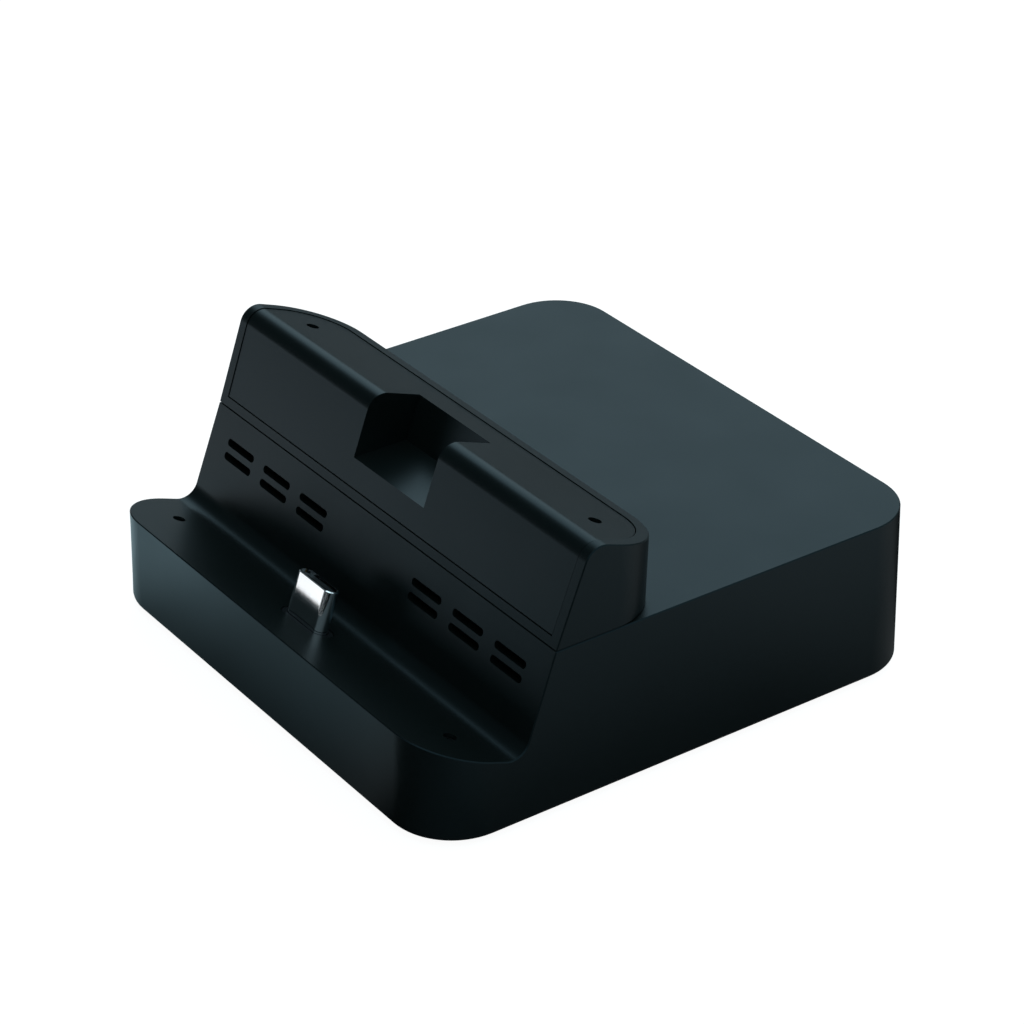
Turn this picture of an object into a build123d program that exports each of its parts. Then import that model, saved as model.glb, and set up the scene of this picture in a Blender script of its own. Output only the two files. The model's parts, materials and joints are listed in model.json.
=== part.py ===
from build123d import *
import os
from math import cos, radians, sin, tan

# Handheld console dock: a drafted base with a tilted ledge, and a riser that carries the slope on upwards.
# Millimetres, Z up. The ledge faces -Y and the feet stand on z = 0.

# Base body
body_width = 84.3
body_depth = 83.6
deck_height = 24.2
corner_radius = 9.5
draft_angle = 1.14
bottom_round = 0.8
edge_bevel = 0.15
shell_wall = 2.2

# Ledge, and the slope that the console leans on
lean_angle = 20.0
ledge_setback = 14.36
ledge_height = 9.54
slope_fillet = 2.7
ledge_line = 6.8

# Vents in the slope, in two groups
vent_length = 7.0
vent_width = 1.15
vent_inset = 18.3
vent_column_spacing = 9.7
vent_columns = 3
vent_drop = 5.3
vent_row_spacing = 2.1
vent_rows = 2

# Riser
riser_rise = 15.45
riser_depth = 19.0
riser_corner = 9.0
flare_angle = 1.6
crest_round = 2.75
riser_floor = 1.6
seam_gap = 0.2
seam_depth = 0.3

# Inset cover of the riser, with its pocket
rim_width = 1.7
cover_border = 1.5
cover_gap = 0.15
cover_recess = 0.1
cover_thickness = 1.6
cover_shelf = 1.5
pocket_width = 17.2
pocket_lip = 5.5
pocket_depth = 8.35
pocket_wall = 1.4

# Bottom cover and feet
plate_lip = 1.3
plate_gap = 0.15
plate_recess = 0.2
plate_thickness = 2.0
foot_stand = 0.8
foot_diameter = 9.0
foot_recess = 0.8
foot_gap = 0.1
foot_bevel = 0.35
foot_side_inset = 10.0
foot_end_inset = 9.0

# Self-tapping screws: small ones in the ledge and the riser, larger ones inside and underneath
small_head = 1.6
small_head_height = 0.6
small_shank = 1.0
small_sink = 0.5
large_head = 3.8
large_head_height = 1.3
large_shank = 2.0
large_sink = 0.15
screw_clearance = 0.15
boss_wall = 1.75
ledge_screw_inset = 7.7
cover_screw_inset = 8.1
cover_screw_setback = 6.9
bottom_screw_side_inset = 7.0
bottom_screw_end_inset = 20.0
bottom_screw_length = 7.0
riser_screw_inset = 20.0
riser_screw_setback = 11.5
riser_screw_length = 7.0
cover_screw_length = 5.0

# Console plug
plug_width = 8.25
plug_thickness = 2.4
plug_reach = 6.3
plug_wall = 0.3
plug_bevel = 0.14
plug_core_setback = 0.7
plug_slot_width = 6.7
plug_slot_thickness = 0.9
plug_slot_depth = 5.0
plug_slot_corner = 0.3
plug_contact_count = 12
plug_contact_spacing = 0.5
plug_contact_width = 0.25
plug_contact_height = 0.12
plug_contact_length = 3.4
plug_contact_setback = 0.6
collar_wall = 0.8
collar_flange = 0.8
collar_drop = 0.05
fit_gap = 0.1
bracket_thickness = 2.4
bracket_width = 7.4
bracket_end = 2.6
plug_board_width = 28.0
plug_board_depth = 6.6
plug_board_thickness = 1.0
plug_board_screw_x = 11.2
plug_board_screw_length = 2.9

# Main board
board_side_setback = 12.0
board_front_setback = 30.0
board_rear_gap = 0.8
board_corner = 0.3
board_thickness = 1.2
standoff_height = 3.2
standoff_diameter = 5.0
board_screw_inset = 3.2
board_screw_front_inset = 8.6
board_screw_rear_inset = 12.0
board_screw_length = 4.0

# Ribbon between the plug board and the main board
ribbon_width = 10.0
ribbon_thickness = 0.3
ribbon_insert = 1.6
ribbon_bend = 3.0
ribbon_lead = 3.0
socket_width = 13.0
socket_depth = 4.0
socket_height = 1.8

# Rear ports
port_setback = 0.9
port_gap = 0.35
port_corner = 0.6
port_metal = 0.35
hdmi_x = 17.0
hdmi_width = 14.7
hdmi_height = 5.4
hdmi_foot = 10.6
hdmi_shoulder = 2.6
hdmi_depth = 11.0
hdmi_tongue_width = 11.0
hdmi_tongue_height = 1.4
hdmi_contact_count = 10
hdmi_contact_spacing = 1.0
usb_a_x = -1.0
usb_a_width = 13.1
usb_a_height = 5.8
usb_a_depth = 13.0
usb_a_corner = 0.5
usb_a_tongue_width = 11.1
usb_a_tongue_height = 1.8
usb_a_tongue_rise = 0.9
usb_a_contact_count = 4
usb_a_contact_spacing = 2.4
usb_c_x = -18.0
usb_c_width = 8.94
usb_c_height = 3.26
usb_c_depth = 7.5
usb_c_tongue_width = 6.6
usb_c_tongue_height = 0.7
tongue_setback = 1.2
tongue_bevel = 0.14
contact_height = 0.12
contact_share = 0.5

# Chips and other pieces on the main board
video_chip_size = 9.0
video_chip_x = 8.0
hub_chip_size = 7.0
hub_chip_x = -8.0
chip_row_inset = 27.0
package_bevel = 0.15
chip_height = 0.9
power_chip_size = 5.0
power_chip_x = -21.0
power_chip_inset = 17.0
inductor_size = 6.0
inductor_height = 3.0
inductor_inset = 26.0
capacitor_diameter = 5.0
capacitor_height = 5.5
capacitor_x = 22.5
capacitor_inset = 27.0
capacitor_spacing = 6.4
capacitor_count = 2
crystal_length = 3.2
crystal_width = 2.5
crystal_height = 0.8
crystal_inset = 18.0
shield_width = 30.0
shield_depth = 14.0
shield_height = 3.4
shield_sheet = 0.5
shield_bend = 0.8
pad_size = 8.0

# Levels and planes that the sizes above give
lean = radians(lean_angle)
draft = tan(radians(draft_angle))
shell_z = foot_stand
deck_z = shell_z + deck_height
plate_z = shell_z + plate_recess
plate_top = plate_z + plate_thickness
board_z = plate_top + standoff_height
board_top = board_z + board_thickness
port_mouth_y = body_depth / 2 - port_setback
board_width = body_width - 2 * board_side_setback
board_front = board_front_setback - body_depth / 2
board_rear = body_depth / 2 - shell_wall - board_rear_gap
chip_row_y = board_rear - chip_row_inset
corner_y = ledge_setback - body_depth / 2
corner_z = shell_z + ledge_height
slope_rise = (deck_height - ledge_height) / cos(lean)
seam_y = corner_y + slope_rise * sin(lean)
riser_rear = seam_y + riser_depth
riser_half = body_width / 2 - deck_height * draft
crest_y = seam_y + riser_rise * sin(lean)
crest_z = deck_z + riser_rise * cos(lean)
cover_depth = cover_recess + cover_thickness
small_seat = small_head_height + small_sink
large_seat = large_head_height + large_sink
floor_under = -shell_wall
bracket_under = floor_under - bracket_thickness
plug_board_under = bracket_under - plug_board_thickness
reach = body_width + body_depth
vent_group_x = body_width / 2 - vent_inset
ledge_screw_x = body_width / 2 - ledge_screw_inset
cover_screw_x = body_width / 2 - cover_screw_inset
riser_screw_x = body_width / 2 - riser_screw_inset
bottom_screw_x = body_width / 2 - bottom_screw_side_inset
bottom_screw_y = body_depth / 2 - bottom_screw_end_inset
foot_x = body_width / 2 - foot_side_inset
foot_y = body_depth / 2 - foot_end_inset
board_screw_x = board_width / 2 - board_screw_inset
board_screw_front = board_front + board_screw_front_inset
board_screw_rear = board_rear - board_screw_rear_inset

across = (1, 0, 0)
up_slope = (0, sin(lean), cos(lean))
off_slope = (0, -cos(lean), sin(lean))
slope = Plane(origin=(0, seam_y, deck_z), x_dir=across, z_dir=off_slope)
ledge = Plane(origin=(0, corner_y, corner_z), x_dir=across, z_dir=up_slope)
crest = Plane(origin=(0, crest_y, crest_z), x_dir=across, z_dir=up_slope)
side = Plane(origin=(0, corner_y, corner_z), x_dir=(0, cos(lean), -sin(lean)), z_dir=across)


def on_ledge(x, drop):
    """Plane on the line of the plug, at x along the ledge and at a height over its floor."""
    origin = ledge.from_local_coords((x, -ledge_line, drop))
    return Plane(origin=origin, x_dir=across, z_dir=up_slope)


def on_crest(x):
    """Plane on the riser cover's outer face, at a cover screw."""
    origin = crest.from_local_coords((x, cover_screw_setback, -cover_recess))
    return Plane(origin=origin, x_dir=across, z_dir=up_slope)


def facing_rear(x, height):
    """Plane at the mouths of the rear ports, looking into the body."""
    return Plane(origin=(x, port_mouth_y, height), x_dir=across, z_dir=(0, -1, 0))


def ledge_space(growth):
    """Space over the ledge and in front of the slope, grown into the shell."""
    with BuildPart() as space:
        with BuildSketch(side):
            with Locations((growth, -growth)):
                Rectangle(reach, reach, align=(Align.MAX, Align.MIN))
            fillet(vertices().group_by(Axis.X)[-1].sort_by(Axis.Y)[0], slope_fillet + growth)
        extrude(amount=reach, both=True)
    return space.part


def riser_wedge(setback):
    """Space behind the slope and under the riser's top, set back from both."""
    with BuildPart() as wedge:
        with BuildSketch(side):
            with Locations((setback, slope_rise + riser_rise - setback)):
                Rectangle(reach, reach, align=(Align.MIN, Align.MAX))
            crest_corner = vertices().group_by(Axis.X)[0].sort_by(Axis.Y)[-1]
            fillet(crest_corner, crest_round - setback)
        extrude(amount=reach, both=True)
    return wedge.part


def above_seam(border):
    """Space above a plane square to the slope, at a distance up from the seam."""
    with BuildPart() as space:
        with BuildSketch(side):
            with Locations((0, slope_rise + border)):
                Rectangle(2 * reach, reach, align=(Align.CENTER, Align.MIN))
        extrude(amount=reach, both=True)
    return space.part


def riser_block(inset):
    """Flared block over the riser's plan, inset from its sides and rear."""
    with BuildPart() as block:
        with BuildSketch(Plane.XY.offset(deck_z)):
            with Locations((0, riser_rear - inset)):
                Rectangle(2 * (riser_half - inset), 2 * riser_depth, align=(Align.CENTER, Align.MAX))
            fillet(vertices().group_by(Axis.Y)[-1], riser_corner - inset)
        extrude(amount=2 * riser_rise, taper=-flare_angle)
    return block.part


def pocket_block(growth):
    """Space of the pocket, with a level floor and a back wall parallel to the slope, grown all round."""
    floor_z = deck_z + pocket_lip * cos(lean) - growth
    back_y = seam_y + pocket_lip * sin(lean) - growth * tan(lean) + (pocket_depth + growth) / cos(lean)
    front_y = seam_y - riser_depth
    rise = 2 * riser_rise
    with BuildPart() as block:
        with BuildSketch(Plane.YZ):
            with BuildLine():
                Polyline(
                    (front_y, floor_z),
                    (back_y, floor_z),
                    (back_y + rise * tan(lean), floor_z + rise),
                    (front_y, floor_z + rise),
                    close=True,
                )
            make_face()
        extrude(amount=pocket_width / 2 + growth, both=True)
    return block.part


def screws(places, head, head_height, shank, length):
    """Plain screws, each with its head standing on its plane."""
    with BuildPart() as group:
        for place in places:
            with BuildSketch(place):
                Circle(head / 2)
            extrude(amount=head_height)
            with BuildSketch(place):
                Circle(shank / 2)
            extrude(amount=-length)
    return group


def board_piece(x, y, width, depth, height):
    """Moulded package that stands on the main board, with its top edges eased."""
    with BuildPart() as piece:
        with BuildSketch(Plane.XY.offset(board_top)):
            with Locations((x, y)):
                Rectangle(width, depth)
        extrude(amount=height)
        chamfer(piece.faces().sort_by(Axis.Z)[-1].edges(), package_bevel)
    return piece


bottom_screw_places = [
    (x, y) for x in (-bottom_screw_x, bottom_screw_x) for y in (-bottom_screw_y, bottom_screw_y)
]
board_screw_places = [
    (x, y) for x in (-board_screw_x, board_screw_x) for y in (board_screw_front, board_screw_rear)
]
riser_screw_y = seam_y + riser_screw_setback
riser_screw_places = [(-riser_screw_x, riser_screw_y), (riser_screw_x, riser_screw_y)]
foot_places = [
    (f"foot_{end}_{hand}", x, y)
    for end, y in (("front", -foot_y), ("rear", foot_y))
    for hand, x in (("left", -foot_x), ("right", foot_x))
]
ledge_open = ledge_space(0)
ledge_ceiling = ledge_space(shell_wall)
os.makedirs("parts", exist_ok=True)

# Hollow of the base, with the bosses for the bottom screws left standing in it
hollow_inset = shell_wall + (plate_top - shell_z) * draft
with BuildPart() as hollow:
    with BuildSketch(Plane.XY.offset(plate_top)):
        RectangleRounded(
            body_width - 2 * hollow_inset, body_depth - 2 * hollow_inset, corner_radius - hollow_inset
        )
    extrude(amount=deck_z - shell_wall - plate_top, taper=draft_angle)
    add(ledge_ceiling, mode=Mode.SUBTRACT)
    with BuildSketch(Plane.XY.offset(plate_top)):
        with Locations(*bottom_screw_places):
            Circle(large_shank / 2 + boss_wall)
    extrude(amount=deck_height, mode=Mode.SUBTRACT)

# Base shell: one moulding, open underneath
rebate_width = body_width - 2 * plate_lip
rebate_depth = body_depth - 2 * plate_lip
rebate_corner = corner_radius - plate_lip
with BuildPart() as base_shell:
    with BuildSketch(Plane.XY.offset(shell_z)):
        RectangleRounded(body_width, body_depth, corner_radius)
    extrude(amount=deck_height, taper=draft_angle)
    fillet(base_shell.faces().sort_by(Axis.Z)[0].edges(), bottom_round)
    add(ledge_open, mode=Mode.SUBTRACT)
    ledge_edges = base_shell.edges(Select.NEW)
    ledge_bends = ledge_edges.filter_by(Axis.X).sort_by(Axis.Y)[1:]
    deck_edges = base_shell.faces().sort_by(Axis.Z)[-1].edges()
    chamfer(ledge_edges + deck_edges - ledge_bends, edge_bevel)
    add(hollow.part, mode=Mode.SUBTRACT)
    with BuildSketch(Plane.XY.offset(shell_z)):
        RectangleRounded(rebate_width, rebate_depth, rebate_corner)
    extrude(amount=plate_top - shell_z, mode=Mode.SUBTRACT)
    # Vents
    with BuildSketch(slope):
        with Locations((-vent_group_x, -vent_drop), (vent_group_x, -vent_drop)):
            with GridLocations(vent_column_spacing, vent_row_spacing, vent_columns, vent_rows):
                SlotOverall(vent_length, vent_width)
    extrude(amount=-2 * shell_wall, mode=Mode.SUBTRACT)
    # Slot for the plug's collar, and the sunk holes of the ledge screws
    with BuildSketch(on_ledge(0, 0)):
        SlotOverall(
            plug_width + 2 * (collar_wall + fit_gap), plug_thickness + 2 * (collar_wall + fit_gap)
        )
    extrude(amount=-2 * shell_wall, mode=Mode.SUBTRACT)
    with Locations(on_ledge(-ledge_screw_x, 0), on_ledge(ledge_screw_x, 0)):
        CounterBoreHole(
            small_shank / 2 + screw_clearance,
            small_head / 2 + screw_clearance,
            small_seat,
            2 * shell_wall,
        )
    # Holes of the riser screws through the deck
    with Locations(*[(x, y, deck_z) for x, y in riser_screw_places]):
        Hole(large_shank / 2 + screw_clearance, 2 * shell_wall)
    # Thread holes in the bosses
    with BuildSketch(Plane.XY.offset(plate_top)):
        with Locations(*bottom_screw_places):
            Circle(large_shank / 2)
    extrude(amount=bottom_screw_length, mode=Mode.SUBTRACT)
    # Openings of the rear ports
    with BuildSketch(facing_rear(hdmi_x, board_top + hdmi_height / 2).offset(-shell_wall)):
        RectangleRounded(hdmi_width + 2 * port_gap, hdmi_height + 2 * port_gap, port_corner)
    with BuildSketch(facing_rear(usb_a_x, board_top + usb_a_height / 2).offset(-shell_wall)):
        RectangleRounded(usb_a_width + 2 * port_gap, usb_a_height + 2 * port_gap, port_corner)
    with BuildSketch(facing_rear(usb_c_x, board_top + usb_c_height / 2).offset(-shell_wall)):
        SlotOverall(usb_c_width + 2 * port_gap, usb_c_height + 2 * port_gap)
    extrude(amount=3 * shell_wall, mode=Mode.SUBTRACT)
base_shell.part.label = "base_shell"
export_step(base_shell.part, "parts/base_shell.step")

# Riser shell: a tray that carries the inset cover
riser_form = riser_block(0)
riser_face = riser_wedge(0)
plinth_form = riser_block(seam_depth)
plinth_face = riser_wedge(seam_depth)
cover_zone = riser_block(rim_width)
cover_foot = above_seam(cover_border)
cover_back = riser_wedge(cover_depth)
hollow_zone = riser_block(rim_width + cover_shelf)
hollow_foot = above_seam(cover_border + cover_shelf)

with BuildPart() as cover_seat:
    add(cover_zone)
    add(cover_foot, mode=Mode.INTERSECT)
    add(cover_back, mode=Mode.SUBTRACT)

with BuildPart() as riser_hollow:
    add(hollow_zone)
    add(hollow_foot, mode=Mode.INTERSECT)
    add(cover_back, mode=Mode.INTERSECT)
    with BuildSketch(Plane.XY.offset(deck_z)):
        Rectangle(reach, reach)
    extrude(amount=riser_floor, mode=Mode.SUBTRACT)
    with BuildSketch(Plane.XY.offset(deck_z)):
        with Locations(*riser_screw_places):
            Circle(large_shank / 2 + boss_wall)
    extrude(amount=riser_screw_length, mode=Mode.SUBTRACT)
    with BuildSketch(on_crest(-cover_screw_x)):
        Circle(small_shank / 2 + boss_wall)
    with BuildSketch(on_crest(cover_screw_x)):
        Circle(small_shank / 2 + boss_wall)
    extrude(amount=-2 * riser_rise, mode=Mode.SUBTRACT)

with BuildPart() as plinth:
    add(plinth_form)
    add(plinth_face, mode=Mode.INTERSECT)

with BuildPart() as seam_groove:
    with BuildSketch(Plane.XY.offset(deck_z)):
        Rectangle(reach, reach)
    extrude(amount=seam_gap)
    add(plinth.part, mode=Mode.SUBTRACT)

with BuildPart() as riser_shell:
    add(riser_form)
    add(riser_face, mode=Mode.INTERSECT)
    riser_faces = riser_shell.faces()
    riser_skin = riser_faces.filter_by(crest) + riser_faces.filter_by(slope)
    riser_edges = (riser_skin + riser_faces.filter_by(GeomType.CYLINDER)).edges()
    riser_bends = riser_edges.filter_by(Axis.X).sort_by(Axis.Y)[:-1]
    chamfer(riser_edges - riser_bends, edge_bevel)
    add(seam_groove.part, mode=Mode.SUBTRACT)
    add(cover_seat.part, mode=Mode.SUBTRACT)
    add(riser_hollow.part, mode=Mode.SUBTRACT)
    with Locations(on_crest(-cover_screw_x), on_crest(cover_screw_x)):
        Hole(small_shank / 2, small_seat + cover_screw_length)
    with BuildSketch(Plane.XY.offset(deck_z)):
        with Locations(*riser_screw_places):
            Circle(large_shank / 2)
    extrude(amount=riser_screw_length - shell_wall, mode=Mode.SUBTRACT)
riser_shell.part.label = "riser_shell"
export_step(riser_shell.part, "parts/riser_shell.step")

# Riser cover: a bent panel over the slope and the top, with the pocket moulded in
cover_outline = riser_block(rim_width + cover_gap)
cover_edge = above_seam(cover_border + cover_gap)
cover_face = riser_wedge(cover_recess)
pocket_outside = pocket_block(pocket_wall)
pocket_inside = pocket_block(0)

with BuildPart() as pocket_box:
    add(pocket_outside)
    add(cover_face, mode=Mode.INTERSECT)

with BuildPart() as riser_cover:
    add(cover_outline)
    add(cover_edge, mode=Mode.INTERSECT)
    add(cover_face, mode=Mode.INTERSECT)
    add(cover_back, mode=Mode.SUBTRACT)
    add(pocket_box.part)
    add(pocket_inside, mode=Mode.SUBTRACT)
    with Locations(on_crest(-cover_screw_x), on_crest(cover_screw_x)):
        CounterBoreHole(
            small_shank / 2 + screw_clearance,
            small_head / 2 + screw_clearance,
            small_seat,
            2 * cover_thickness,
        )
riser_cover.part.label = "riser_cover"
export_step(riser_cover.part, "parts/riser_cover.step")

# Bottom cover: an inset plate with standoffs for the main board
with BuildPart() as bottom_cover:
    with BuildSketch(Plane.XY.offset(plate_z)):
        RectangleRounded(
            rebate_width - 2 * plate_gap, rebate_depth - 2 * plate_gap, rebate_corner - plate_gap
        )
    extrude(amount=plate_thickness)
    with BuildSketch(Plane.XY.offset(plate_top)):
        with Locations(*board_screw_places):
            Circle(standoff_diameter / 2)
            Circle(large_shank / 2, mode=Mode.SUBTRACT)
    extrude(amount=standoff_height)
    with BuildSketch(Plane.XY.offset(plate_z)):
        with Locations(*[(x, y) for name, x, y in foot_places]):
            Circle(foot_diameter / 2 + foot_gap)
    extrude(amount=foot_recess, mode=Mode.SUBTRACT)
    with Locations(*[-Plane.XY.move(Location((x, y, plate_z))) for x, y in bottom_screw_places]):
        CounterBoreHole(
            large_shank / 2 + screw_clearance,
            large_head / 2 + screw_clearance,
            large_seat,
            2 * plate_thickness,
        )
bottom_cover.part.label = "bottom_cover"
export_step(bottom_cover.part, "parts/bottom_cover.step")

# Rubber feet
for foot_name, x, y in foot_places:
    with BuildPart() as foot:
        with BuildSketch():
            with Locations((x, y)):
                Circle(foot_diameter / 2)
        extrude(amount=plate_z + foot_recess)
        chamfer(foot.faces().sort_by(Axis.Z)[0].edges(), foot_bevel)
    foot.part.label = foot_name
    export_step(foot.part, f"parts/{foot_name}.step")

# Screws that hold the shells together
bottom_screws = screws(
    [-Plane.XY.move(Location((x, y, plate_z + large_seat))) for x, y in bottom_screw_places],
    large_head,
    large_head_height,
    large_shank,
    bottom_screw_length,
)
bottom_screws.part.label = "bottom_screws"
export_step(bottom_screws.part, "parts/bottom_screws.step")

riser_screws = screws(
    [-Plane.XY.move(Location((x, y, deck_z - shell_wall))) for x, y in riser_screw_places],
    large_head,
    large_head_height,
    large_shank,
    riser_screw_length,
)
riser_screws.part.label = "riser_screws"
export_step(riser_screws.part, "parts/riser_screws.step")

cover_screws = screws(
    [on_crest(x).offset(-small_seat) for x in (-cover_screw_x, cover_screw_x)],
    small_head,
    small_head_height,
    small_shank,
    cover_screw_length,
)
cover_screws.part.label = "cover_screws"
export_step(cover_screws.part, "parts/cover_screws.step")

ledge_screws = screws(
    [on_ledge(x, -small_seat) for x in (-ledge_screw_x, ledge_screw_x)],
    small_head,
    small_head_height,
    small_shank,
    shell_wall + bracket_thickness - small_seat,
)
ledge_screws.part.label = "ledge_screws"
export_step(ledge_screws.part, "parts/ledge_screws.step")

# Console plug: steel shell, moulded core and two rows of contacts
plug_length = plug_reach - bracket_under
with BuildPart() as plug_shell:
    with BuildSketch(on_ledge(0, bracket_under)):
        SlotOverall(plug_width, plug_thickness)
    extrude(amount=plug_length)
    chamfer(plug_shell.faces().filter_by(ledge).sort_by(Axis.Z)[-1].edges(), plug_bevel)
    with BuildSketch(on_ledge(0, bracket_under)):
        SlotOverall(plug_width - 2 * plug_wall, plug_thickness - 2 * plug_wall)
    extrude(amount=plug_length, mode=Mode.SUBTRACT)
plug_shell.part.label = "plug_shell"
export_step(plug_shell.part, "parts/plug_shell.step")

plug_core_top = plug_reach - plug_core_setback
contact_tip = plug_core_top - plug_contact_setback
contact_side = (plug_slot_thickness - plug_contact_height) / 2
with BuildPart() as plug_core:
    with BuildSketch(on_ledge(0, bracket_under)):
        SlotOverall(plug_width - 2 * plug_wall, plug_thickness - 2 * plug_wall)
    extrude(amount=plug_core_top - bracket_under)
    with BuildSketch(on_ledge(0, plug_core_top)):
        RectangleRounded(plug_slot_width, plug_slot_thickness, plug_slot_corner)
    extrude(amount=-plug_slot_depth, mode=Mode.SUBTRACT)
plug_core.part.label = "plug_core"
export_step(plug_core.part, "parts/plug_core.step")

with BuildPart() as plug_contacts:
    with BuildSketch(on_ledge(0, contact_tip)):
        with GridLocations(plug_contact_spacing, 2 * contact_side, plug_contact_count, 2):
            Rectangle(plug_contact_width, plug_contact_height)
    extrude(amount=-plug_contact_length)
plug_contacts.part.label = "plug_contacts"
export_step(plug_contacts.part, "parts/plug_contacts.step")

# Collar that fills the slot round the plug, and is trapped under the ledge by its flange
collar_width = plug_width + 2 * collar_wall
collar_thickness = plug_thickness + 2 * collar_wall
with BuildPart() as plug_collar:
    with BuildSketch(on_ledge(0, bracket_under)):
        SlotOverall(collar_width + 2 * collar_flange, collar_thickness + 2 * collar_flange)
    extrude(amount=bracket_thickness)
    with BuildSketch(on_ledge(0, floor_under)):
        SlotOverall(collar_width, collar_thickness)
    extrude(amount=shell_wall - collar_drop)
    with BuildSketch(on_ledge(0, bracket_under)):
        SlotOverall(plug_width + 2 * fit_gap, plug_thickness + 2 * fit_gap)
    extrude(amount=reach, mode=Mode.SUBTRACT)
plug_collar.part.label = "plug_collar"
export_step(plug_collar.part, "parts/plug_collar.step")

# Bar under the ledge that holds the plug board
with BuildPart() as plug_bracket:
    with BuildSketch(on_ledge(0, bracket_under)):
        SlotOverall(2 * (ledge_screw_x + bracket_end), bracket_width)
        SlotOverall(
            collar_width + 2 * (collar_flange + fit_gap),
            collar_thickness + 2 * (collar_flange + fit_gap),
            mode=Mode.SUBTRACT,
        )
    extrude(amount=bracket_thickness)
    with Locations(on_ledge(-ledge_screw_x, floor_under), on_ledge(ledge_screw_x, floor_under)):
        Hole(small_shank / 2, bracket_thickness)
    with Locations(*[-on_ledge(x, bracket_under) for x in (-plug_board_screw_x, plug_board_screw_x)]):
        Hole(small_shank / 2, plug_board_screw_length - plug_board_thickness)
plug_bracket.part.label = "plug_bracket"
export_step(plug_bracket.part, "parts/plug_bracket.step")

with BuildPart() as plug_board:
    with BuildSketch(on_ledge(0, plug_board_under)):
        RectangleRounded(plug_board_width, plug_board_depth, board_corner)
        with Locations((-plug_board_screw_x, 0), (plug_board_screw_x, 0)):
            Circle(small_shank / 2 + screw_clearance, mode=Mode.SUBTRACT)
    extrude(amount=plug_board_thickness)
plug_board.part.label = "plug_board"
export_step(plug_board.part, "parts/plug_board.step")

plug_board_screws = screws(
    [-on_ledge(x, plug_board_under) for x in (-plug_board_screw_x, plug_board_screw_x)],
    small_head,
    small_head_height,
    small_shank,
    plug_board_screw_length,
)
plug_board_screws.part.label = "plug_board_screws"
export_step(plug_board_screws.part, "parts/plug_board_screws.step")

# Main board on the standoffs of the bottom cover
with BuildPart() as main_board:
    with BuildSketch(Plane.XY.offset(board_z)):
        with Locations((0, (board_rear + board_front) / 2)):
            RectangleRounded(board_width, board_rear - board_front, board_corner)
        with Locations(*board_screw_places):
            Circle(large_shank / 2 + screw_clearance, mode=Mode.SUBTRACT)
    extrude(amount=board_thickness)
main_board.part.label = "main_board"
export_step(main_board.part, "parts/main_board.step")

board_screws = screws(
    [Plane.XY.move(Location((x, y, board_top))) for x, y in board_screw_places],
    large_head,
    large_head_height,
    large_shank,
    board_screw_length,
)
board_screws.part.label = "board_screws"
export_step(board_screws.part, "parts/board_screws.step")

# Ribbon and its two sockets
slot_height = ribbon_thickness + 2 * fit_gap
socket_middle = socket_height / 2
main_socket_y = board_front + socket_depth / 2
with BuildPart() as main_socket:
    with BuildSketch(Plane.XY.offset(board_top)):
        with Locations((0, main_socket_y)):
            Rectangle(socket_width, socket_depth)
    extrude(amount=socket_height)
    with BuildSketch(Plane.XZ.offset(-board_front)):
        with Locations((0, board_top + socket_middle)):
            Rectangle(ribbon_width + 2 * fit_gap, slot_height)
    extrude(amount=-ribbon_insert - fit_gap, mode=Mode.SUBTRACT)
main_socket.part.label = "main_ribbon_socket"
export_step(main_socket.part, "parts/main_ribbon_socket.step")

plug_socket_mouth = on_ledge(0, plug_board_under - socket_middle).from_local_coords((0, socket_depth / 2, 0))
plug_socket_way = Plane(origin=plug_socket_mouth, x_dir=across, z_dir=off_slope)
with BuildPart() as plug_socket:
    with BuildSketch(on_ledge(0, plug_board_under)):
        Rectangle(socket_width, socket_depth)
    extrude(amount=-socket_height)
    with BuildSketch(plug_socket_way):
        Rectangle(ribbon_width + 2 * fit_gap, slot_height)
    extrude(amount=ribbon_insert + fit_gap, mode=Mode.SUBTRACT)
plug_socket.part.label = "plug_ribbon_socket"
export_step(plug_socket.part, "parts/plug_ribbon_socket.step")

ribbon_start = plug_socket_way.from_local_coords((0, 0, ribbon_insert))
ribbon_out = plug_socket_way.from_local_coords((0, 0, -ribbon_lead))
ribbon_level = board_top + socket_middle
with BuildPart() as ribbon_cable:
    with BuildSketch(Plane.YZ):
        with BuildLine():
            FilletPolyline(
                (ribbon_start.Y, ribbon_start.Z),
                (ribbon_out.Y, ribbon_out.Z),
                (board_front - ribbon_lead, ribbon_level),
                (board_front + ribbon_insert, ribbon_level),
                radius=ribbon_bend,
            )
        trace(line_width=ribbon_thickness)
    extrude(amount=ribbon_width / 2, both=True)
ribbon_cable.part.label = "ribbon_cable"
export_step(ribbon_cable.part, "parts/ribbon_cable.step")

# Video port
hdmi_mouth = facing_rear(hdmi_x, board_top + hdmi_height / 2)
with BuildPart() as hdmi_shell:
    with BuildSketch(hdmi_mouth):
        with BuildLine():
            Polyline(
                (-hdmi_foot / 2, -hdmi_height / 2),
                (hdmi_foot / 2, -hdmi_height / 2),
                (hdmi_width / 2, hdmi_shoulder - hdmi_height / 2),
                (hdmi_width / 2, hdmi_height / 2),
                (-hdmi_width / 2, hdmi_height / 2),
                (-hdmi_width / 2, hdmi_shoulder - hdmi_height / 2),
                close=True,
            )
        make_face()
    extrude(amount=hdmi_depth)
    offset(amount=-port_metal, openings=hdmi_shell.faces().sort_by(Axis.Y)[-1])
hdmi_shell.part.label = "hdmi_shell"
export_step(hdmi_shell.part, "parts/hdmi_shell.step")

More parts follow.
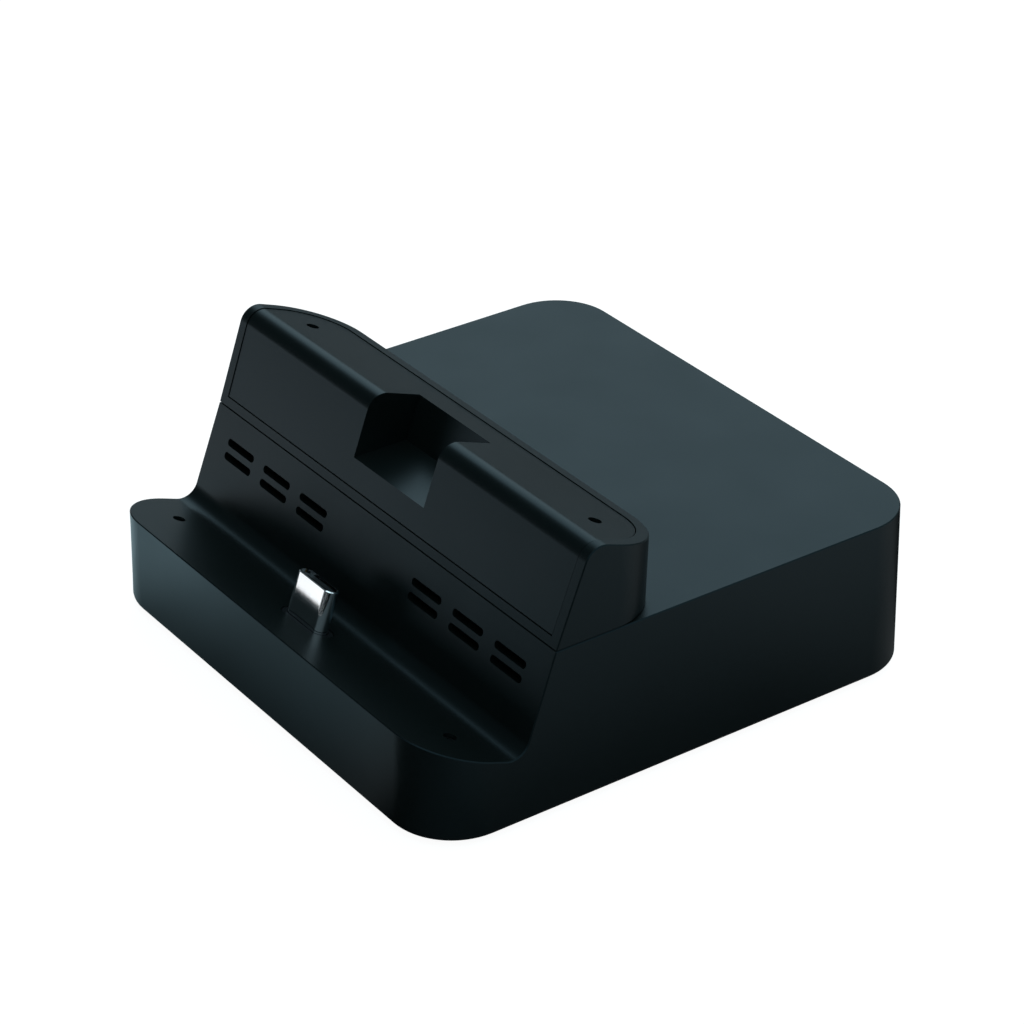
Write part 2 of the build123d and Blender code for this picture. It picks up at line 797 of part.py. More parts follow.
# Data port
usb_a_mouth = facing_rear(usb_a_x, board_top + usb_a_height / 2)
with BuildPart() as usb_a_shell:
    with BuildSketch(usb_a_mouth):
        RectangleRounded(usb_a_width, usb_a_height, usb_a_corner)
    extrude(amount=usb_a_depth)
    offset(amount=-port_metal, openings=usb_a_shell.faces().sort_by(Axis.Y)[-1])
usb_a_shell.part.label = "usb_a_shell"
export_step(usb_a_shell.part, "parts/usb_a_shell.step")

# Power port
usb_c_mouth = facing_rear(usb_c_x, board_top + usb_c_height / 2)
with BuildPart() as usb_c_shell:
    with BuildSketch(usb_c_mouth):
        SlotOverall(usb_c_width, usb_c_height)
    extrude(amount=usb_c_depth)
    offset(amount=-port_metal, openings=usb_c_shell.faces().sort_by(Axis.Y)[-1])
usb_c_shell.part.label = "usb_c_shell"
export_step(usb_c_shell.part, "parts/usb_c_shell.step")


def tongue(mouth, rise, width, height, depth):
    """Moulded tongue of a port, from the back of its shell to just inside the mouth."""
    with BuildPart() as piece:
        with BuildSketch(mouth.offset(tongue_setback)):
            with Locations((0, rise)):
                Rectangle(width, height)
        extrude(amount=depth - tongue_setback - port_metal)
        chamfer(piece.faces().sort_by(Axis.Y)[-1].edges(), tongue_bevel)
    return piece


def tongue_contacts(mouth, face_rises, count, spacing, depth):
    """Contact strips laid on the faces of a tongue."""
    with BuildPart() as strips:
        for rise in face_rises:
            with BuildSketch(mouth.offset(2 * tongue_setback)):
                with Locations((0, rise)):
                    with GridLocations(spacing, contact_height, count, 1):
                        Rectangle(spacing * contact_share, contact_height)
            extrude(amount=(depth - tongue_setback) / 2)
    return strips


hdmi_tongue = tongue(hdmi_mouth, 0, hdmi_tongue_width, hdmi_tongue_height, hdmi_depth)
hdmi_tongue.part.label = "hdmi_tongue"
export_step(hdmi_tongue.part, "parts/hdmi_tongue.step")

hdmi_face = (hdmi_tongue_height + contact_height) / 2
hdmi_contacts = tongue_contacts(
    hdmi_mouth, (-hdmi_face, hdmi_face), hdmi_contact_count, hdmi_contact_spacing, hdmi_depth
)
hdmi_contacts.part.label = "hdmi_contacts"
export_step(hdmi_contacts.part, "parts/hdmi_contacts.step")

usb_a_tongue = tongue(usb_a_mouth, usb_a_tongue_rise, usb_a_tongue_width, usb_a_tongue_height, usb_a_depth)
usb_a_tongue.part.label = "usb_a_tongue"
export_step(usb_a_tongue.part, "parts/usb_a_tongue.step")

usb_a_face = usb_a_tongue_rise - (usb_a_tongue_height + contact_height) / 2
usb_a_contacts = tongue_contacts(
    usb_a_mouth, (usb_a_face,), usb_a_contact_count, usb_a_contact_spacing, usb_a_depth
)
usb_a_contacts.part.label = "usb_a_contacts"
export_step(usb_a_contacts.part, "parts/usb_a_contacts.step")

usb_c_tongue = tongue(usb_c_mouth, 0, usb_c_tongue_width, usb_c_tongue_height, usb_c_depth)
usb_c_tongue.part.label = "usb_c_tongue"
export_step(usb_c_tongue.part, "parts/usb_c_tongue.step")

usb_c_face = (usb_c_tongue_height + contact_height) / 2
usb_c_contacts = tongue_contacts(
    usb_c_mouth, (-usb_c_face, usb_c_face), plug_contact_count, plug_contact_spacing, usb_c_depth
)
usb_c_contacts.part.label = "usb_c_contacts"
export_step(usb_c_contacts.part, "parts/usb_c_contacts.step")

# Pieces on the main board
video_chip = board_piece(video_chip_x, chip_row_y, video_chip_size, video_chip_size, chip_height)
video_chip.part.label = "video_chip"
export_step(video_chip.part, "parts/video_chip.step")

hub_chip = board_piece(hub_chip_x, chip_row_y, hub_chip_size, hub_chip_size, chip_height)
hub_chip.part.label = "hub_chip"
export_step(hub_chip.part, "parts/hub_chip.step")

power_chip_y = board_rear - power_chip_inset
power_chip = board_piece(power_chip_x, power_chip_y, power_chip_size, power_chip_size, chip_height)
power_chip.part.label = "power_chip"
export_step(power_chip.part, "parts/power_chip.step")

inductor_y = board_rear - inductor_inset
power_inductor = board_piece(power_chip_x, inductor_y, inductor_size, inductor_size, inductor_height)
power_inductor.part.label = "power_inductor"
export_step(power_inductor.part, "parts/power_inductor.step")

crystal_y = board_rear - crystal_inset
clock_crystal = board_piece(0, crystal_y, crystal_length, crystal_width, crystal_height)
clock_crystal.part.label = "clock_crystal"
export_step(clock_crystal.part, "parts/clock_crystal.step")

with BuildPart() as capacitors:
    with BuildSketch(Plane.XY.offset(board_top)):
        with Locations((capacitor_x, board_rear - capacitor_inset)):
            with GridLocations(capacitor_spacing, capacitor_spacing, 1, capacitor_count):
                Circle(capacitor_diameter / 2)
    extrude(amount=capacitor_height)
capacitors.part.label = "capacitors"
export_step(capacitors.part, "parts/capacitors.step")

# Folded shield over the two large chips, with a thermal pad on the hotter one
with BuildPart() as board_shield:
    with BuildSketch(Plane.XZ.offset(-chip_row_y - shield_depth / 2)):
        with Locations((0, board_top)):
            Rectangle(shield_width, shield_height, align=(Align.CENTER, Align.MIN))
        fillet(vertices().group_by(Axis.Y)[-1], shield_bend)
        with Locations((0, board_top)):
            Rectangle(
                shield_width - 2 * shield_sheet,
                shield_height - shield_sheet,
                align=(Align.CENTER, Align.MIN),
                mode=Mode.SUBTRACT,
            )
    extrude(amount=shield_depth)
board_shield.part.label = "board_shield"
export_step(board_shield.part, "parts/board_shield.step")

with BuildPart() as thermal_pad:
    with BuildSketch(Plane.XY.offset(board_top + chip_height)):
        with Locations((video_chip_x, chip_row_y)):
            Rectangle(pad_size, pad_size)
    extrude(amount=shield_height - shield_sheet - chip_height)
thermal_pad.part.label = "thermal_pad"
export_step(thermal_pad.part, "parts/thermal_pad.step")
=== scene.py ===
import json
from math import cos, pi, radians, sin

import bpy
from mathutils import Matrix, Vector


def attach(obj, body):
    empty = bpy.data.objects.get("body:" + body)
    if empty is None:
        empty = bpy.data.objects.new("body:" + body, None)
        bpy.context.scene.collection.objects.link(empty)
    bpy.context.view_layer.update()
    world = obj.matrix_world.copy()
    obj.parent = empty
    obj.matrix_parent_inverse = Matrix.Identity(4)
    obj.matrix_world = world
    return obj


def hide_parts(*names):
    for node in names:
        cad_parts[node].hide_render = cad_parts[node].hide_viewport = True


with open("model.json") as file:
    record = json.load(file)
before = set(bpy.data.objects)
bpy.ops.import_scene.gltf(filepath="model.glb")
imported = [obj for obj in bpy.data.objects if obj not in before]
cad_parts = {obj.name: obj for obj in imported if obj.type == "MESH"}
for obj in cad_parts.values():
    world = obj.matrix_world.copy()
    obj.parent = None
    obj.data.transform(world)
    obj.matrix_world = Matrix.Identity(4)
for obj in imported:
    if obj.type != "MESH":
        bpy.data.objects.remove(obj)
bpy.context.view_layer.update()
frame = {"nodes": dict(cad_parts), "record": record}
nodes = frame["nodes"]
slot_of = {row["node"]: row["material_slot"] for row in frame["record"]["subparts"]}

# Camera at the photograph's viewing angle: metres, radians, and millimetres for lens and sensor
camera_place = (0.33332, -0.23691, 0.25653)
camera_tilt = pi / 2 - 0.5268
camera_turn = 0.9516
camera_lens = 117.64
camera_sensor = 36.0
camera_near = 0.01

# Floor
floor_size = 6.0
floor_drop = 0.00005
floor_tone = (0.9, 0.9, 0.9)
floor_white = 1.24
floor_glow = 0.76

# Sky: its strength, and the heights and sides between which its lights set in
sky_tint = (0.68, 0.91, 1.0)
sky_dim = 0.07
sky_bright = 1.49
sky_height = (0.07, 0.46)
sky_behind = (-0.08, 0.42)
sky_left = (0.1, -0.4)
sky_right = (-0.30, -0.05)
sky_right_share = 0.45
sky_overhead = (0.86, 0.98)
sky_overhead_share = 0.8

# Reflection card on the floor
card_size = 4.0
card_lift = 0.0002

# Card in front of the dock: steps of light along a slanted line, and where they lose light
card_bright = 1.4
card_slant = 0.75
card_steps = ((-0.03, 0.82), (-0.0145, 0.82), (-0.002, 1.0), (0.0215, 0.51), (0.056, 0.46), (0.064, 0.02))
card_distance = (-0.20, -0.12)
card_distant_share = 0.72
card_foot_y = (-0.062, -0.042)
card_foot_x = (-0.055, -0.030)
card_foot_loss = 0.78
card_ahead_y = (-0.062, -0.072)
card_ahead_x = (-0.05, -0.02)
card_ahead_loss = 0.9
card_front_end = (-0.03, 0.0)

# Card behind the dock and on its left
card_behind_y = (0.035, 0.06)
card_behind_x = (0.02, -0.01)
card_behind_light = 0.7
card_left_y = (-0.05, 0.0)
card_left_x = (-0.04, -0.06)
card_left_light = 0.8
card_back = (0.08, 0.14)
card_back_share = 0.3

# Card on the dock's right
card_right_y = (-0.09, -0.045)
card_right_x = (0.030, 0.045)
card_right_light = 0.085
card_aside = (0.045, 0.085)
card_aside_light = 0.375
card_rear = (0.015, 0.045)
card_rear_light = 0.14

# Tints of the card, from far on the left to the right
card_haze = (0.85, 0.96, 1.03)
card_haze_end = (-0.18, -0.13)
card_plain = (0.98, 0.99, 1.0)
card_cool = (0.62, 0.90, 1.0)
card_cool_start = (-0.10, -0.07)
card_cool_end = (0.0, 0.035)
card_cool_share = 0.25

# Finish of the merged copies
merge_distance = 1e-6
smooth_angle = radians(35)

# Cross recesses of the screws, as shares of a head's width
recess_width = 0.22
recess_reach = 0.22
rim_ease = 0.05
rim_segments = 2

# Limits that pick out flat faces, edges to ease, upright faces, a head's top and the points of one head
flat_angle = radians(1)
ease_angle = radians(40)
upright_limit = 0.5
level_slack = 1e-6
head_reach = 0.006

# Ways that the screw heads face
lean = radians(20)
up = Vector((0.0, 0.0, 1.0))
up_slope = Vector((0.0, sin(lean), cos(lean)))
screws_facing = {
    "ledge_screws": up_slope,
    "cover_screws": up_slope,
    "plug_board_screws": -up_slope,
    "board_screws": up,
    "riser_screws": -up,
    "bottom_screws": -up,
}

# Textures of the finishes
grain_detail = 2.0
patch_detail = 3.0
line_detail = 3.0
trace_pitch = 0.06
trace_edge = (0.032, 0.038)
pad_edge = (0.16, 0.12)
conductor_edge = (0.4, 0.6)

# Relief of the finishes: depths in metres, and how strongly the copper shows
grain_depth = 0.00005
line_depth = 0.00002
copper_depth = 0.00004
copper_bump = 0.4

# Gloss of the mouldings and of the boards' lacquer
gloss_level = 0.25
gloss_tint = (0.50, 0.82, 1.0)
lacquer_coat = 0.3

# Mouldings: dark and light tone, roughness, scale and strength of the grain
mouldings = {
    "shell_plastic": ((0.0034, 0.0050, 0.0046), (0.0044, 0.0064, 0.0058), 0.36, 5000.0, 0.04),
    "cover_plastic": ((0.0034, 0.0050, 0.0046), (0.0044, 0.0064, 0.0058), 0.30, 6000.0, 0.04),
    "bottom_plastic": ((0.004, 0.006, 0.007), (0.006, 0.009, 0.010), 0.55, 2500.0, 0.3),
    "foot_rubber": ((0.010, 0.010, 0.011), (0.016, 0.016, 0.017), 0.75, 3000.0, 0.25),
    "black_moulding": ((0.008, 0.009, 0.010), (0.012, 0.013, 0.014), 0.40, 6000.0, 0.08),
    "chip_package": ((0.014, 0.014, 0.015), (0.022, 0.022, 0.023), 0.50, 7000.0, 0.2),
    "pad_silicone": ((0.32, 0.35, 0.39), (0.38, 0.41, 0.45), 0.65, 2500.0, 0.15),
}

# Metals: dark and light tone, roughness, strength of the lines
metals = {
    "black_screw": ((0.010, 0.011, 0.012), (0.020, 0.021, 0.023), 0.45, 0.1),
    "steel_screw": ((0.50, 0.51, 0.52), (0.60, 0.61, 0.62), 0.30, 0.1),
    "plug_steel": ((0.90, 0.91, 0.92), (0.96, 0.97, 0.98), 0.13, 0.01),
    "port_steel": ((0.58, 0.59, 0.60), (0.66, 0.67, 0.68), 0.28, 0.08),
    "shield_steel": ((0.54, 0.55, 0.56), (0.62, 0.63, 0.64), 0.32, 0.1),
    "contact_gold": ((0.78, 0.57, 0.24), (0.86, 0.65, 0.31), 0.24, 0.05),
    "capacitor_can": ((0.62, 0.63, 0.64), (0.72, 0.73, 0.74), 0.25, 0.05),
    "crystal_can": ((0.56, 0.56, 0.56), (0.64, 0.64, 0.64), 0.28, 0.05),
}

# Board lacquer and ribbon film, each plain and over its copper
board_lacquer = (0.006, 0.055, 0.032)
lacquer_on_copper = (0.022, 0.130, 0.070)
ribbon_film = (0.64, 0.65, 0.64)
film_on_copper = (0.40, 0.41, 0.43)


# Shader groups

def new_group(name, inputs, outputs):
    """Shader group with number inputs at their usual values and number outputs."""
    group = bpy.data.node_groups.new(name, "ShaderNodeTree")
    for label, value in inputs.items():
        socket = group.interface.new_socket(label, in_out="INPUT", socket_type="NodeSocketFloat")
        socket.default_value = value
    for label in outputs:
        group.interface.new_socket(label, in_out="OUTPUT", socket_type="NodeSocketFloat")
    entry = group.nodes.new("NodeGroupInput")
    leave = group.nodes.new("NodeGroupOutput")
    return group, entry, leave


def spread_about(group, value, middle, spread):
    """Value from 0 to 1 as a number that swings by the spread about the middle."""
    centred = group.nodes.new("ShaderNodeMath")
    centred.operation = "SUBTRACT"
    centred.inputs[1].default_value = 0.5
    group.links.new(value, centred.inputs[0])
    swing = group.nodes.new("ShaderNodeMath")
    swing.operation = "MULTIPLY_ADD"
    group.links.new(centred.outputs[0], swing.inputs[0])
    group.links.new(spread, swing.inputs[1])
    group.links.new(middle, swing.inputs[2])
    return swing.outputs[0]


def leave_with(group, entry, leave, tone, height):
    """Outputs of a finish: its gloss follows its tone, and its relief follows the height."""
    gloss = spread_about(group, tone, entry.outputs["Roughness"], entry.outputs["Spread"])
    group.links.new(gloss, leave.inputs["Roughness"])
    group.links.new(tone, leave.inputs["Tone"])
    group.links.new(height, leave.inputs["Height"])


def edge_mask(tree, value, ends):
    """Mask that goes from 0 to 1 between two numbers."""
    step = tree.nodes.new("ShaderNodeMapRange")
    step.inputs["From Min"].default_value = ends[0]
    step.inputs["From Max"].default_value = ends[1]
    tree.links.new(value, step.inputs["Value"])
    return step.outputs["Result"]


def moulded_grain_group():
    """Fine etched grain of a mould, with slow changes of gloss and tone."""
    group, entry, leave = new_group(
        "moulded_grain",
        {"Grain Scale": 5000.0, "Patch Scale": 90.0, "Roughness": 0.4, "Spread": 0.1},
        ("Roughness", "Tone", "Height"),
    )
    place = group.nodes.new("ShaderNodeTexCoord")
    grain = group.nodes.new("ShaderNodeTexNoise")
    grain.inputs["Detail"].default_value = grain_detail
    patch = group.nodes.new("ShaderNodeTexNoise")
    patch.inputs["Detail"].default_value = patch_detail
    group.links.new(place.outputs["Object"], grain.inputs["Vector"])
    group.links.new(place.outputs["Object"], patch.inputs["Vector"])
    group.links.new(entry.outputs["Grain Scale"], grain.inputs["Scale"])
    group.links.new(entry.outputs["Patch Scale"], patch.inputs["Scale"])
    leave_with(group, entry, leave, patch.outputs["Fac"], grain.outputs["Fac"])
    return group


def drawn_lines_group():
    """Fine lines left on metal by drawing or brushing, along the piece's upright."""
    group, entry, leave = new_group(
        "drawn_lines",
        {"Line Scale": 9000.0, "Stretch": 0.03, "Roughness": 0.25, "Spread": 0.15},
        ("Roughness", "Tone", "Height"),
    )
    place = group.nodes.new("ShaderNodeTexCoord")
    squeeze = group.nodes.new("ShaderNodeCombineXYZ")
    squeeze.inputs["X"].default_value = 1.0
    squeeze.inputs["Y"].default_value = 1.0
    group.links.new(entry.outputs["Stretch"], squeeze.inputs["Z"])
    scaled = group.nodes.new("ShaderNodeVectorMath")
    scaled.operation = "MULTIPLY"
    group.links.new(place.outputs["Object"], scaled.inputs[0])
    group.links.new(squeeze.outputs["Vector"], scaled.inputs[1])
    lines = group.nodes.new("ShaderNodeTexNoise")
    lines.inputs["Detail"].default_value = line_detail
    group.links.new(scaled.outputs["Vector"], lines.inputs["Vector"])
    group.links.new(entry.outputs["Line Scale"], lines.inputs["Scale"])
    leave_with(group, entry, leave, lines.outputs["Fac"], lines.outputs["Fac"])
    return group


def board_traces_group():
    """Copper under a board's lacquer: square-cornered traces and round pads."""
    group, entry, leave = new_group(
        "board_traces",
        {"Trace Scale": 260.0, "Pad Scale": 420.0, "Roughness": 0.3, "Spread": -0.1},
        ("Roughness", "Tone", "Height"),
    )
    place = group.nodes.new("ShaderNodeTexCoord")
    cells = group.nodes.new("ShaderNodeTexVoronoi")
    cells.distance = "CHEBYCHEV"
    group.links.new(place.outputs["Object"], cells.inputs["Vector"])
    group.links.new(entry.outputs["Trace Scale"], cells.inputs["Scale"])
    rings = group.nodes.new("ShaderNodeMath")
    rings.operation = "PINGPONG"
    rings.inputs[1].default_value = trace_pitch
    group.links.new(cells.outputs["Distance"], rings.inputs[0])
    dots = group.nodes.new("ShaderNodeTexVoronoi")
    group.links.new(place.outputs["Object"], dots.inputs["Vector"])
    group.links.new(entry.outputs["Pad Scale"], dots.inputs["Scale"])
    copper = group.nodes.new("ShaderNodeMath")
    copper.operation = "MAXIMUM"
    group.links.new(edge_mask(group, rings.outputs[0], trace_edge), copper.inputs[0])
    group.links.new(edge_mask(group, dots.outputs["Distance"], pad_edge), copper.inputs[1])
    leave_with(group, entry, leave, copper.outputs[0], copper.outputs[0])
    return group


def ribbon_lines_group():
    """Flat conductors side by side in a ribbon's film."""
    group, entry, leave = new_group(
        "ribbon_lines",
        {"Line Scale": 314.0, "Roughness": 0.4, "Spread": -0.15},
        ("Roughness", "Tone", "Height"),
    )
    place = group.nodes.new("ShaderNodeTexCoord")
    bands = group.nodes.new("ShaderNodeTexWave")
    group.links.new(place.outputs["Object"], bands.inputs["Vector"])
    group.links.new(entry.outputs["Line Scale"], bands.inputs["Scale"])
    conductors = edge_mask(group, bands.outputs["Fac"], conductor_edge)
    leave_with(group, entry, leave, conductors, conductors)
    return group


moulded_grain = moulded_grain_group()
drawn_lines = drawn_lines_group()
board_traces = board_traces_group()
ribbon_lines = ribbon_lines_group()


# Materials

def surface(name, group, values, dark, light, bump, depth):
    """Material whose tone, gloss and relief come from a shader group, and its shader."""
    material = bpy.data.materials.new(name)
    material.use_nodes = True
    tree = material.node_tree
    shader = tree.nodes["Principled BSDF"]
    texture = tree.nodes.new("ShaderNodeGroup")
    texture.node_tree = group
    for label, value in values.items():
        texture.inputs[label].default_value = value
    tone = tree.nodes.new("ShaderNodeMix")
    tone.data_type = "RGBA"
    tone.inputs["A"].default_value = (*dark, 1.0)
    tone.inputs["B"].default_value = (*light, 1.0)
    relief = tree.nodes.new("ShaderNodeBump")
    relief.inputs["Strength"].default_value = bump
    relief.inputs["Distance"].default_value = depth
    tree.links.new(texture.outputs["Tone"], tone.inputs["Factor"])
    tree.links.new(tone.outputs["Result"], shader.inputs["Base Color"])
    tree.links.new(texture.outputs["Roughness"], shader.inputs["Roughness"])
    tree.links.new(texture.outputs["Height"], relief.inputs["Height"])
    tree.links.new(relief.outputs["Normal"], shader.inputs["Normal"])
    return material, shader


def moulding(name, dark, light, roughness, grain_scale, bump):
    """Moulded plastic, rubber or silicone with an etched grain."""
    values = {"Grain Scale": grain_scale, "Roughness": roughness}
    material, shader = surface(name, moulded_grain, values, dark, light, bump, grain_depth)
    shader.inputs["Specular IOR Level"].default_value = gloss_level
    shader.inputs["Specular Tint"].default_value = (*gloss_tint, 1.0)
    return material


def metal(name, dark, light, roughness, bump):
    """Drawn or plated metal."""
    values = {"Roughness": roughness}
    material, shader = surface(name, drawn_lines, values, dark, light, bump, line_depth)
    shader.inputs["Metallic"].default_value = 1.0
    return material


def lacquered_board(name, lacquer, on_copper):
    """Board whose copper shows as paler lines under the lacquer."""
    material, shader = surface(name, board_traces, {}, lacquer, on_copper, copper_bump, copper_depth)
    shader.inputs["Coat Weight"].default_value = lacquer_coat
    return material


def flat_ribbon(name, film, on_copper):
    """Film whose flat conductors show through as darker lines."""
    material, shader = surface(name, ribbon_lines, {}, film, on_copper, copper_bump, copper_depth)
    return material


materials = {name: moulding(name, *values) for name, values in mouldings.items()}
materials.update({name: metal(name, *values) for name, values in metals.items()})
materials["circuit_board"] = lacquered_board("circuit_board", board_lacquer, lacquer_on_copper)
materials["ribbon_film"] = flat_ribbon("ribbon_film", ribbon_film, film_on_copper)


# Pieces

def select_only(piece):
    """Makes the piece the only one selected, for the operators that follow."""
    bpy.ops.object.select_all(action="DESELECT")
    bpy.context.view_layer.objects.active = piece
    piece.select_set(True)


def merged_copy(name):
    """Copy of a node with its loose triangles joined."""
    piece = bpy.data.objects.new(f"{name}_finish", nodes[name].data.copy())
    bpy.context.scene.collection.objects.link(piece)
    select_only(piece)
    bpy.ops.object.mode_set(mode="EDIT")
    bpy.ops.mesh.select_all(action="SELECT")
    bpy.ops.mesh.remove_doubles(threshold=merge_distance)
    bpy.ops.object.mode_set(mode="OBJECT")
    bpy.ops.mesh.customdata_custom_splitnormals_clear()
    return piece


def apply_modifier(piece, kind, **settings):
    """Modifier with these settings, applied to the piece."""
    select_only(piece)
    modifier = piece.modifiers.new(kind.lower(), kind)
    for label, value in settings.items():
        setattr(modifier, label, value)
    bpy.ops.object.modifier_apply(modifier=modifier.name)


def join_flat_faces(piece):
    """Joins the piece's flat triangles into whole faces."""
    select_only(piece)
    bpy.ops.object.mode_set(mode="EDIT")
    bpy.ops.mesh.select_all(action="SELECT")
    bpy.ops.mesh.dissolve_limited(angle_limit=flat_angle)
    bpy.ops.object.mode_set(mode="OBJECT")


def head_rims(piece, facing):
    """Rim points of each head in a group of screws that all face one way."""
    points = [vertex.co.copy() for vertex in piece.data.vertices]
    top = max(point.dot(facing) for point in points)
    heads = []
    for point in points:
        if point.dot(facing) < top - level_slack:
            continue
        for head in heads:
            if (head[0] - point).length < head_reach:
                head.append(point)
                break
        else:
            heads.append([point])
    return heads


def cross_cutter(place, facing, head_width):
    """Cross that stands half in a screw's head."""
    turn = up.rotation_difference(facing).to_euler()
    bpy.ops.object.select_all(action="DESELECT")
    bpy.ops.mesh.primitive_cube_add(size=recess_width * head_width, location=place, rotation=turn)
    cutter = bpy.context.active_object
    bpy.ops.object.transform_apply()
    for face in cutter.data.polygons:
        face.select = abs(face.normal.dot(facing)) < upright_limit
    bpy.ops.object.mode_set(mode="EDIT")
    bpy.ops.mesh.extrude_faces_move(TRANSFORM_OT_shrink_fatten={"value": recess_reach * head_width})
    bpy.ops.object.mode_set(mode="OBJECT")
    return cutter


def cut_crosses(piece, facing):
    """Cross recess and eased rim on each head in a group of screws."""
    join_flat_faces(piece)
    rims = head_rims(piece, facing)
    middles = [sum(rim, Vector()) / len(rim) for rim in rims]
    head_width = 2 * max((point - middles[0]).length for point in rims[0])
    for middle in middles:
        cutter = cross_cutter(middle, facing, head_width)
        apply_modifier(piece, "BOOLEAN", operation="DIFFERENCE", object=cutter, solver="EXACT")
        bpy.data.objects.remove(cutter)
    ease = rim_ease * head_width
    apply_modifier(piece, "BEVEL", width=ease, segments=rim_segments, angle_limit=ease_angle)


def finish(piece, name):
    """Smooth shading, material and place in the part for a node's copy."""
    select_only(piece)
    bpy.ops.object.shade_smooth_by_angle(angle=smooth_angle)
    apply_modifier(piece, "WEIGHTED_NORMAL", keep_sharp=True)
    piece.data.materials.clear()
    piece.data.materials.append(materials[slot_of[name]])
    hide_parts(name)
    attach(piece, "root")


for name in nodes:
    piece = merged_copy(name)
    if name in screws_facing:
        cut_crosses(piece, screws_facing[name])
    finish(piece, name)


# Studio

def axes(tree, source):
    """X, Y and Z of a texture coordinate."""
    place = tree.nodes.new("ShaderNodeTexCoord")
    split = tree.nodes.new("ShaderNodeSeparateXYZ")
    tree.links.new(place.outputs[source], split.inputs["Vector"])
    return split.outputs["X"], split.outputs["Y"], split.outputs["Z"]


def ramp(tree, value, ends, low, high):
    """Number that eases from low to high as the value goes from one end to the other."""
    ease = tree.nodes.new("ShaderNodeMapRange")
    ease.interpolation_type = "SMOOTHSTEP"
    ease.inputs["From Min"].default_value = ends[0]
    ease.inputs["From Max"].default_value = ends[1]
    ease.inputs["To Min"].default_value = low
    ease.inputs["To Max"].default_value = high
    tree.links.new(value, ease.inputs["Value"])
    return ease.outputs["Result"]


def combine(tree, operation, first, second):
    """Result of one operation on two numbers."""
    step = tree.nodes.new("ShaderNodeMath")
    step.operation = operation
    tree.links.new(first, step.inputs[0])
    tree.links.new(second, step.inputs[1])
    return step.outputs[0]


def product(tree, first, second):
    """Two numbers multiplied."""
    return combine(tree, "MULTIPLY", first, second)


def larger(tree, first, second):
    """The larger of two numbers."""
    return combine(tree, "MAXIMUM", first, second)


def remainder(tree, share):
    """What a share leaves of the whole."""
    return edge_mask(tree, share, (1.0, 0.0))


def zone(tree, x, y, x_ends, y_ends, level):
    """Part of the card that eases to its level along both X and Y."""
    return product(tree, ramp(tree, y, y_ends, 0.0, level), ramp(tree, x, x_ends, 0.0, 1.0))


def sky():
    """Dim studio: a broad light high behind on the left, a weaker one on the right, a small one above."""
    world = bpy.data.worlds.new("studio")
    world.use_nodes = True
    tree = world.node_tree
    x, y, z = axes(tree, "Generated")
    corner = zone(tree, x, y, sky_left, sky_behind, 1.0)
    sides = larger(tree, corner, ramp(tree, x, sky_right, 0.0, sky_right_share))
    raised = product(tree, ramp(tree, z, sky_height, 0.0, 1.0), sides)
    lit = larger(tree, raised, ramp(tree, z, sky_overhead, 0.0, sky_overhead_share))
    strength = ramp(tree, lit, (0.0, 1.0), sky_dim, sky_bright)
    tree.links.new(strength, tree.nodes["Background"].inputs["Strength"])
    tree.nodes["Background"].inputs["Color"].default_value = (*sky_tint, 1.0)
    bpy.context.scene.world = world


def stepped(tree, value, steps):
    """Number that eases from step to step as the value goes along."""
    first = steps[0][0]
    last = steps[-1][0]
    share = tree.nodes.new("ShaderNodeMapRange")
    share.inputs["From Min"].default_value = first
    share.inputs["From Max"].default_value = last
    levels = tree.nodes.new("ShaderNodeValToRGB")
    levels.color_ramp.interpolation = "EASE"
    for step in steps[1:-1]:
        levels.color_ramp.elements.new((step[0] - first) / (last - first))
    for element, step in zip(levels.color_ramp.elements, steps):
        element.color = (step[1], step[1], step[1], 1.0)
    tree.links.new(value, share.inputs["Value"])
    tree.links.new(share.outputs["Result"], levels.inputs["Fac"])
    return levels.outputs["Color"]


def card_front(tree, x, y):
    """Light in front, in slanted steps, less at the front wall's foot, ahead of the plug and far away."""
    slanted = tree.nodes.new("ShaderNodeMath")
    slanted.operation = "MULTIPLY_ADD"
    slanted.inputs[1].default_value = -card_slant
    tree.links.new(y, slanted.inputs[0])
    tree.links.new(x, slanted.inputs[2])
    foot = remainder(tree, zone(tree, x, y, card_foot_x, card_foot_y, card_foot_loss))
    ahead = remainder(tree, zone(tree, x, y, card_ahead_x, card_ahead_y, card_ahead_loss))
    level = ramp(tree, y, card_distance, card_distant_share * card_bright, card_bright)
    ended = product(tree, level, ramp(tree, y, card_front_end, 1.0, 0.0))
    light = product(tree, stepped(tree, slanted.outputs[0], card_steps), foot)
    return product(tree, light, product(tree, ended, ahead))


def card_back_left(tree, x, y):
    """Light behind and on the left, which fades farther back."""
    behind = zone(tree, x, y, card_behind_x, card_behind_y, card_behind_light)
    left = zone(tree, x, y, card_left_x, card_left_y, card_left_light)
    return product(tree, larger(tree, behind, left), ramp(tree, y, card_back, 1.0, card_back_share))


def card_right(tree, x, y):
    """Light on the right, which grows away from the dock and towards its rear."""
    aside = ramp(tree, x, card_aside, card_right_light, card_right_light + card_aside_light)
    light = combine(tree, "ADD", aside, ramp(tree, y, card_rear, 0.0, card_rear_light))
    return product(tree, light, zone(tree, x, y, card_right_x, card_right_y, 1.0))


